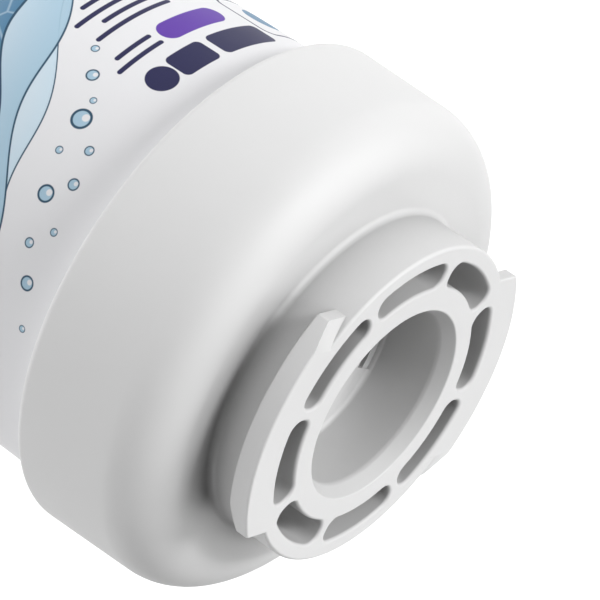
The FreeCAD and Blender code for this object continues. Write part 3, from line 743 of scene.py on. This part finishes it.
def depth_below_wave(level, swing, swing_turn, ripple, cycles, phase):
    """How far a spot lies below a wave's crest, in millimetres."""
    swell = add(tree, "Math", {0: turn, 1: math.radians(swing_turn)}, operation="SUBTRACT").outputs["Value"]
    swell = add(tree, "Math", {0: swell}, operation="COSINE").outputs["Value"]
    swell = add(tree, "Math", {0: swell, 1: swing, 2: level}, operation="MULTIPLY_ADD").outputs["Value"]
    wave = add(tree, "Math", {0: turn, 1: cycles, 2: phase}, operation="MULTIPLY_ADD").outputs["Value"]
    wave = add(tree, "Math", {0: wave}, operation="SINE").outputs["Value"]
    crest = add(tree, "Math", {0: wave, 1: ripple, 2: swell}, operation="MULTIPLY_ADD").outputs["Value"]
    return add(tree, "Math", {0: crest, 1: height}, operation="SUBTRACT").outputs["Value"]


def print_over(under, ink, colour):
    """Print one ink over what is there already."""
    over = colour if isinstance(colour, bpy.types.NodeSocket) else linear(colour)
    return add(tree, "Mix", {"Factor": ink, "A": under, "B": over}, data_type="RGBA").outputs["Result"]


net = add(tree, "TexVoronoi", {"Vector": place, "Scale": 1 / (NET_CELL * MM)},
          feature="DISTANCE_TO_EDGE").outputs["Distance"]
net = add(tree, "MapRange", {"Value": net, "From Max": NET_LINE,
                             "To Min": NET_STRENGTH, "To Max": 0.0}).outputs["Result"]
label = linear(FILM_WHITE)
for level, swing, swing_turn, ripple, cycles, phase, ink, fade, half_line in WAVES:
    depth = depth_below_wave(level, swing, swing_turn, ripple, cycles, phase)
    under = add(tree, "MapRange", {"Value": depth, "From Min": -INK_EDGE,
                                   "From Max": INK_EDGE}).outputs["Result"]
    left = add(tree, "MapRange", {"Value": depth, "From Max": fade,
                                  "To Min": 1.0, "To Max": 0.0}).outputs["Result"]
    fill = add(tree, "Math", {0: under, 1: left}, operation="MULTIPLY").outputs["Value"]
    nearest = ink == WATER_DEEP
    label = print_over(label, fill, print_over(linear(ink), net, WATER_PALE) if nearest else ink)
    edge = add(tree, "Math", {0: depth}, operation="ABSOLUTE").outputs["Value"]
    edge = add(tree, "MapRange", {"Value": edge, "From Min": half_line + INK_EDGE,
                                  "From Max": half_line - INK_EDGE}).outputs["Result"]
    label = print_over(label, edge, WATER_LINE)
print(len(WAVES), "layers of water drawn")

# %% [markdown]
# ### Blocks, lines, drops and frames
# The rest of the print is a list, drawn from first to last: where a shape lies, how large it is,
# how round its corners are, and its ink. A frame is a bar with a smaller white bar over it, and a
# drop is three discs: a dark edge, the water in it and a glint.

# %% Print: blocks, frames and bands
SHAPES = [
    # angle, height, width, height of the bar, corner, ink
    (-87.0, 95.2, 11.5, 4.8, 1.0, NAVY),
    (-70.0, 95.2, 7.0, 4.8, 1.0, NAVY),
    (-60.0, 95.2, 4.8, 4.8, 2.4, NAVY),
    (-81.0, 88.9, 13.0, 4.0, 2.0, PURPLE),
    (-107.0, 90.0, 11.5, 11.5, 2.2, NAVY),
    (-107.0, 90.0, 10.7, 10.7, 1.8, FILM_WHITE),
    (-107.0, 90.0, 6.0, 6.0, 3.0, WATER_DEEP),
    (112.0, 90.0, 34.0, 17.0, 2.2, NAVY),
    (112.0, 90.0, 33.2, 16.2, 1.8, FILM_WHITE),
    (98.0, 72.0, 15.0, 4.8, 1.0, NAVY),
    (119.0, 72.0, 7.0, 4.8, 1.0, NAVY),
    (130.0, 72.0, 4.8, 4.8, 2.4, PURPLE),
    (-150.0, 92.5, 34.0, 5.4, 2.7, NAVY),
    (0.0, 7.0, 400.0, 3.0, 0.2, NAVY),
    (0.0, 10.0, 400.0, 0.8, 0.2, PURPLE),
]
print(len(SHAPES), "blocks, frames and bands placed")

# %% Print: rings, drops and lines
RINGS = [(-166.0, 75.0, PURPLE), (-150.0, 75.0, NAVY), (-134.0, 75.0, WATER_DEEP)]
RING, RING_INSIDE, RING_MIDDLE = 9.0, 7.8, 3.4
DROPS = [
    # angle, height, width
    (-57.0, 84.4, 1.3), (-51.0, 87.4, 2.0), (-46.0, 90.4, 1.1), (-41.0, 91.0, 3.2), (-36.0, 95.2, 1.5),
    (-32.5, 91.4, 1.2), (-28.0, 96.4, 1.8), (-23.0, 93.6, 2.6), (-17.0, 97.8, 1.2), (-12.0, 95.2, 1.5),
    (-4.0, 97.6, 2.2), (6.0, 99.4, 1.1),
]
DROP_INSIDE, GLINT, GLINT_TURN, GLINT_RISE = 0.76, 0.36, 0.22, 0.14
LINES = [
    # angle, height, width
    (-62.0, 90.0, 9.0), (-63.0, 88.0, 7.0), (-71.0, 83.6, 15.0), (-73.0, 81.6, 11.0),
    (-70.0, 79.6, 14.0), (-72.0, 77.6, 10.0), (112.0, 95.5, 26.0), (112.0, 93.2, 23.0),
    (112.0, 90.9, 27.0), (112.0, 88.6, 20.0), (112.0, 86.3, 25.0), (112.0, 84.0, 14.0),
    (-150.0, 85.6, 22.0), (-150.0, 64.0, 26.0), (-150.0, 61.7, 23.0), (-150.0, 59.4, 27.0),
    (-150.0, 57.1, 20.0), (112.0, 67.0, 12.0), (112.0, 64.7, 9.0),
]
LINE, LINE_END = 0.8, 0.4


def disc(degrees, middle, width, ink):
    """A disc is a bar that is all corner."""
    return (degrees, middle, width, width, width / 2, ink)


for degrees, middle, ink in RINGS:
    SHAPES += [disc(degrees, middle, width, colour)
               for width, colour in ((RING, ink), (RING_INSIDE, FILM_WHITE), (RING_MIDDLE, ink))]
for degrees, middle, width in DROPS:
    glint = (degrees - width * GLINT_TURN, middle + width * GLINT_RISE)
    SHAPES += [disc(degrees, middle, width, WATER_LINE),
               disc(degrees, middle, width * DROP_INSIDE, WATER_MID),
               disc(*glint, width * GLINT, FILM_WHITE)]
SHAPES += [(degrees, middle, width, LINE, LINE_END, NAVY) for degrees, middle, width in LINES]
print(len(RINGS), "rings,", len(DROPS), "drops and", len(LINES), "lines placed")


# %% Print: ink
def bar(degrees, middle, width, tall, corner):
    """Ink of a bar with rounded corners, 1 inside and 0 outside."""
    center = (math.radians(degrees) * LABEL_RADIUS, middle, 0)
    inner_half = (width / 2 - corner, tall / 2 - corner, 0)
    away = add(tree, "VectorMath", {0: spot, 1: center}, operation="SUBTRACT").outputs["Vector"]
    away = add(tree, "VectorMath", {0: away}, operation="ABSOLUTE").outputs["Vector"]
    away = add(tree, "VectorMath", {0: away, 1: inner_half}, operation="SUBTRACT").outputs["Vector"]
    away = add(tree, "VectorMath", {0: away, 1: (0, 0, 0)}, operation="MAXIMUM").outputs["Vector"]
    distance = add(tree, "VectorMath", {0: away}, operation="LENGTH").outputs["Value"]
    return add(tree, "MapRange", {"Value": distance, "From Min": corner + INK_EDGE,
                                  "From Max": corner - INK_EDGE}).outputs["Result"]


for degrees, middle, width, tall, corner, ink in SHAPES:
    label = print_over(label, bar(degrees, middle, width, tall, corner), ink)
tree.links.new(label, shader.inputs["Base Color"])
print(len(SHAPES), "shapes printed")

# %% [markdown]
# ### The varnish
# Varnish flows out almost smooth, and the thin film follows the cup with slow, shallow waves.
# So one slow noise moves both the gloss and the surface a little.

# %% Varnish
WAVINESS, WAVE_RELIEF = 11.0, 0.012
VARNISH_GLOSS = (0.38, 0.46)

slow = add(tree, "TexNoise", {"Vector": place, "Scale": 1 / (WAVINESS * MM)}).outputs["Fac"]
rough = add(tree, "MapRange", {"Value": slow, "From Min": NOISE_LOW, "From Max": NOISE_HIGH,
                               "To Min": VARNISH_GLOSS[0], "To Max": VARNISH_GLOSS[1]}).outputs["Result"]
waves = add(tree, "Bump", {"Height": slow, "Strength": 1.0, "Distance": WAVE_RELIEF * MM}).outputs["Normal"]
tree.links.new(rough, shader.inputs["Roughness"])
tree.links.new(waves, shader.inputs["Normal"])
film.data.materials.append(film_gloss)
print("varnish on", film.name)

# %% [markdown]
# ## Ownership
# Each modelled piece is now made to ride on the root, and the CAD node it stands for is hidden.
# Nothing on this cartridge moves, so everything rides on the root.

# %% Ownership
for piece, node, finish in (
    (head, "head_cap", "housing"),
    (cup, "sump", "housing"),
    (film, "label_wrap", "label_film"),
):
    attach(piece, "root")
    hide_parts(node)
    print(piece.name, "stands for", node)

# %% [markdown]
# ## The floor
# The cartridge stands on a light table, as small white things do in a studio: a wide sheet of
# white acrylic, matt on top and lit a little from below. It reflects like paper, and its own glow
# keeps the ground white and lights the undersides that no lamp above it can reach. The studio is
# large beside the cartridge, so its sizes are in metres.

# %% Floor
FLOOR_SIZE = 12.0
FLOOR_GLOW = 0.2
FLOOR_CLOUD = 60.0

bpy.ops.object.select_all(action="DESELECT")
bpy.ops.mesh.primitive_plane_add(size=FLOOR_SIZE)
floor = bpy.context.object
floor.name = "floor"
floor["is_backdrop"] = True
acrylic, tree, shader = new_material("matt white acrylic", Roughness=0.95, Specular_IOR_Level=0.0,
                                     Emission_Color=linear("#ffffff"), Emission_Strength=FLOOR_GLOW)
place = add(tree, "TexCoord").outputs["Object"]
cloud = add(tree, "TexNoise", {"Vector": place, "Scale": 1 / (FLOOR_CLOUD * MM)}).outputs["Fac"]
tone = add(tree, "Mix", {"Factor": cloud, "A": linear("#fcfcfc"), "B": linear("#fefefe")},
           data_type="RGBA").outputs["Result"]
tree.links.new(tone, shader.inputs["Base Color"])
floor.data.materials.append(acrylic)
print("floor of", FLOOR_SIZE, "m with", acrylic.name)

# %% [markdown]
# ## Light
# White on white is lit from large soft sources, and its form is read from how they differ. Four
# softboxes stand on one side of the object, so the collar rolls from bright to grey, and three low
# fills keep the shaded side open. The world is a white backdrop: a Light Path node lets only the
# camera see it, so it adds no light of its own and the shade stays.

# %% Lights
MIDDLE = Vector((0, 0, 0.1))
SOFTBOX_DISTANCE = 3.0
SOFTBOXES = [
    # name, angle round the object, angle above the floor, size in metres, power in watts
    ("key softbox", -120, 50, 0.9, 28),
    ("side softbox", -89, 50, 0.9, 43),
    ("top softbox", -50, 75, 1.4, 25),
    ("back softbox", -165, 62, 1.4, 22),
    ("right fill", 79, 8, 0.8, 11),
    ("front fill", -8, 8, 0.8, 11),
    ("far fill", 150, 14, 0.8, 10),
]

for name, degrees, height_degrees, size, power in SOFTBOXES:
    rise = math.radians(height_degrees)
    across = on_circle(math.cos(rise), degrees, math.sin(rise))
    bpy.ops.object.light_add(type="AREA", location=MIDDLE + across * SOFTBOX_DISTANCE,
                             rotation=across.to_track_quat("Z", "Y").to_euler())
    lamp = bpy.context.object
    lamp.name = name
    lamp.data.size = size
    lamp.data.energy = power
    lamp.visible_camera = False
    print(name, "of", power, "W")

# %% Backdrop
world = bpy.context.scene.world or bpy.data.worlds.new("world")
bpy.context.scene.world = world
world.use_nodes = True
tree = world.node_tree
seen = add(tree, "LightPath").outputs["Is Camera Ray"]
tree.nodes["Background"].inputs["Color"].default_value = linear("#ffffff")
tree.links.new(seen, tree.nodes["Background"].inputs["Strength"])
bpy.context.scene.view_settings.view_transform = "Standard"
print("white backdrop, seen by the camera alone")

# %% [markdown]
# ## Sizes
# The dressed object has to keep the box of the CAD model, so both boxes are written down.

# %% Sizes
boxes = {"cad": (cad_low, cad_high), "visual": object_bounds()}
for name, (low, high) in boxes.items():
    print(name, "box in mm:", [round(side * 1000, 2) for side in high - low])
